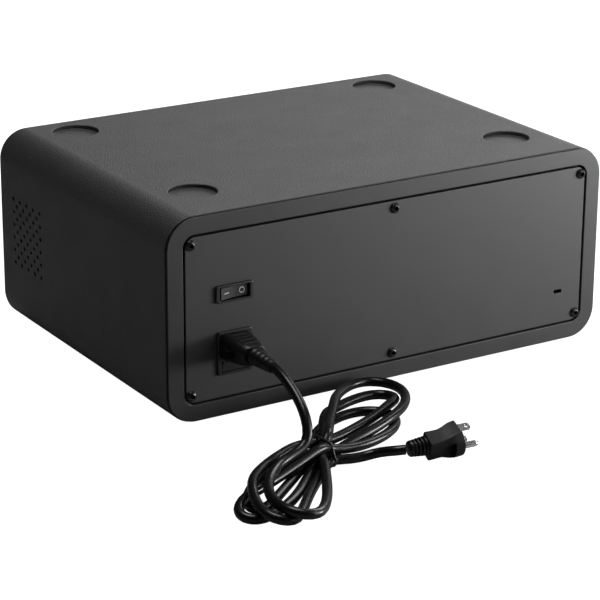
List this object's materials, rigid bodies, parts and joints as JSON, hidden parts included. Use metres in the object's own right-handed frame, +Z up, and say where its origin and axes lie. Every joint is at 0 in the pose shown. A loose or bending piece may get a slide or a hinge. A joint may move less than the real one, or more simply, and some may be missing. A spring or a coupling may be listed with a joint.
{
  "type": "bill validator",
  "caption": "Bill validator in a rounded black housing with a note slot, note transport, stacker, lift-out cassette, rear power inlet, rocker switch and a bundled mains lead.",
  "frame": {"origin": "on the floor under the middle of the body, without the free cord", "axes": "+X to the right seen from the front, the body's width; -Y is the front with the note slot, +Y the rear with the power inlet; +Z up"},
  "size_m": [0.4359, 0.485, 0.164],
  "materials": {
    "housing_paint": "black powder coat with a fine grain",
    "frame_plastic": "black moulded plastic, satin",
    "panel_plastic": "black moulded plastic, fine matte texture",
    "black_plastic": "black moulded plastic, semi-gloss",
    "cord_rubber": "glossy black PVC",
    "foot_rubber": "matte black rubber",
    "black_steel": "black oxide steel",
    "zinc_steel": "zinc plated sheet",
    "bright_metal": "bright nickel",
    "grey_plastic": "grey moulded plastic",
    "natural_plastic": "natural acetal",
    "board_green": "green circuit board",
    "roller_rubber": "dark grey roller rubber",
    "clear_green": "green light guide, translucent",
    "smoked_lens": "smoked display lens"
  },
  "bodies": {
    "root": {"housing_sleeve": "housing_paint", "rear_frame": "frame_plastic", "front_frame": "frame_plastic", "rear_panel": "panel_plastic", "rear_panel_screw_1": "black_steel", "rear_panel_screw_2": "black_steel", "rear_panel_screw_3": "black_steel", "rear_panel_screw_4": "black_steel", "rear_panel_screw_5": "black_steel", "rear_panel_screw_6": "black_steel", "foot_1": "foot_rubber", "foot_2": "foot_rubber", "foot_3": "foot_rubber", "foot_4": "foot_rubber", "switch_bezel": "black_plastic", "inlet_body": "black_plastic", "cord_connector": "cord_rubber", "front_panel": "panel_plastic", "bill_bezel": "grey_plastic", "bezel_light_guide": "clear_green", "display_window": "smoked_lens", "front_board": "board_green", "chassis_tray": "zinc_steel", "cassette_cradle": "zinc_steel", "main_board": "board_green", "power_supply": "zinc_steel", "fan_frame": "black_plastic", "validator_side_left": "zinc_steel", "validator_side_right": "zinc_steel", "lower_guide": "grey_plastic", "upper_guide": "grey_plastic", "image_sensor": "black_plastic", "drive_belt": "roller_rubber", "transport_motor": "zinc_steel", "stacker_frame": "grey_plastic", "stacker_motor": "zinc_steel", "cord_lead": "cord_rubber", "cord_hank": "cord_rubber", "cord_tail": "cord_rubber", "cord_tie": "cord_rubber", "plug_body": "cord_rubber"},
    "switch_rocker": {"switch_rocker": "black_plastic"},
    "fuse_drawer": {"fuse_drawer": "black_plastic"},
    "key_1": {"key_1": "grey_plastic"},
    "key_2": {"key_2": "grey_plastic"},
    "key_3": {"key_3": "grey_plastic"},
    "fan_rotor": {"fan_rotor": "black_plastic"},
    "drive_shaft_front": {"drive_shaft_front": "roller_rubber"},
    "drive_shaft_rear": {"drive_shaft_rear": "roller_rubber"},
    "pinch_shaft_front": {"pinch_shaft_front": "roller_rubber"},
    "pinch_shaft_rear": {"pinch_shaft_rear": "roller_rubber"},
    "motor_pinion": {"motor_pinion": "natural_plastic"},
    "pusher": {"pusher_plate": "natural_plastic"},
    "stacker_pinion": {"stacker_pinion": "bright_metal"},
    "cassette": {"cassette_box": "black_plastic", "cassette_front": "grey_plastic", "cassette_lid": "black_plastic", "follower_spring": "bright_metal"},
    "follower": {"follower_plate": "zinc_steel"},
    "lock": {"lock_core": "bright_metal"}
  },
  "joints": [
    {"name": "rocker_tilt", "type": "hinge", "parent": "root", "child": "switch_rocker", "pos_m": [0.1415, 0.14, 0.101], "axis": [0, 0, 1], "range_deg": [-14, 0]},
    {"name": "fuse_drawer_slide", "type": "slide", "parent": "root", "child": "fuse_drawer", "axis": [0, 1, 0], "range_m": [0, 0.018]},
    {"name": "fan_spin", "type": "hinge", "parent": "root", "child": "fan_rotor", "pos_m": [0.187, -0.09124, 0.0864], "axis": [1, 0, 0], "continuous": true},
    {"name": "key_1_press", "type": "slide", "parent": "root", "child": "key_1", "axis": [0, 1, 0], "range_m": [0, 0.0012], "stiffness_N_per_m": 500},
    {"name": "key_2_press", "type": "slide", "parent": "root", "child": "key_2", "axis": [0, 1, 0], "range_m": [0, 0.0012], "stiffness_N_per_m": 500},
    {"name": "key_3_press", "type": "slide", "parent": "root", "child": "key_3", "axis": [0, 1, 0], "range_m": [0, 0.0012], "stiffness_N_per_m": 500},
    {"name": "cassette_slide", "type": "slide", "parent": "root", "child": "cassette", "axis": [0, -1, 0], "range_m": [0, 0.265]},
    {"name": "lock_turn", "type": "hinge", "parent": "cassette", "child": "lock", "pos_m": [-0.057, -0.137, 0.072], "axis": [0, 1, 0], "range_deg": [0, 90]},
    {"name": "follower_travel", "type": "slide", "parent": "cassette", "child": "follower", "axis": [0, 0, -1], "range_m": [0, 0.036], "stiffness_N_per_m": 150, "springref_m": -0.03, "deforming": ["follower_spring"]},
    {"name": "pusher_stroke", "type": "slide", "parent": "root", "child": "pusher", "axis": [0, 0, -1], "range_m": [0, 0.027]},
    {"name": "stacker_pinion_turn", "type": "hinge", "parent": "root", "child": "stacker_pinion", "pos_m": [-0.09, 0.06, 0.1245], "axis": [1, 0, 0], "range_deg": [-260, 0]},
    {"name": "drive_shaft_rear_spin", "type": "hinge", "parent": "root", "child": "drive_shaft_rear", "pos_m": [-0.09, -0.054, 0.09785], "axis": [1, 0, 0], "continuous": true},
    {"name": "drive_shaft_front_spin", "type": "hinge", "parent": "root", "child": "drive_shaft_front", "pos_m": [-0.09, -0.114, 0.09785], "axis": [1, 0, 0], "continuous": true},
    {"name": "pinch_shaft_rear_spin", "type": "hinge", "parent": "root", "child": "pinch_shaft_rear", "pos_m": [-0.09, -0.054, 0.11215], "axis": [1, 0, 0], "continuous": true},
    {"name": "pinch_shaft_front_spin", "type": "hinge", "parent": "root", "child": "pinch_shaft_front", "pos_m": [-0.09, -0.114, 0.11215], "axis": [1, 0, 0], "continuous": true},
    {"name": "motor_pinion_spin", "type": "hinge", "parent": "root", "child": "motor_pinion", "pos_m": [-0.0245, -0.054, 0.11915], "axis": [1, 0, 0], "continuous": true}
  ],
  "couplings": [
    {"joint": "drive_shaft_front_spin", "follows": "drive_shaft_rear_spin", "ratio": 1},
    {"joint": "pinch_shaft_rear_spin", "follows": "drive_shaft_rear_spin", "ratio": -1.3333},
    {"joint": "pinch_shaft_front_spin", "follows": "drive_shaft_rear_spin", "ratio": -1.3333},
    {"joint": "motor_pinion_spin", "follows": "drive_shaft_rear_spin", "ratio": -2.5},
    {"joint": "stacker_pinion_turn", "follows": "pusher_stroke", "rad_per_m": -166.67}
  ]
}
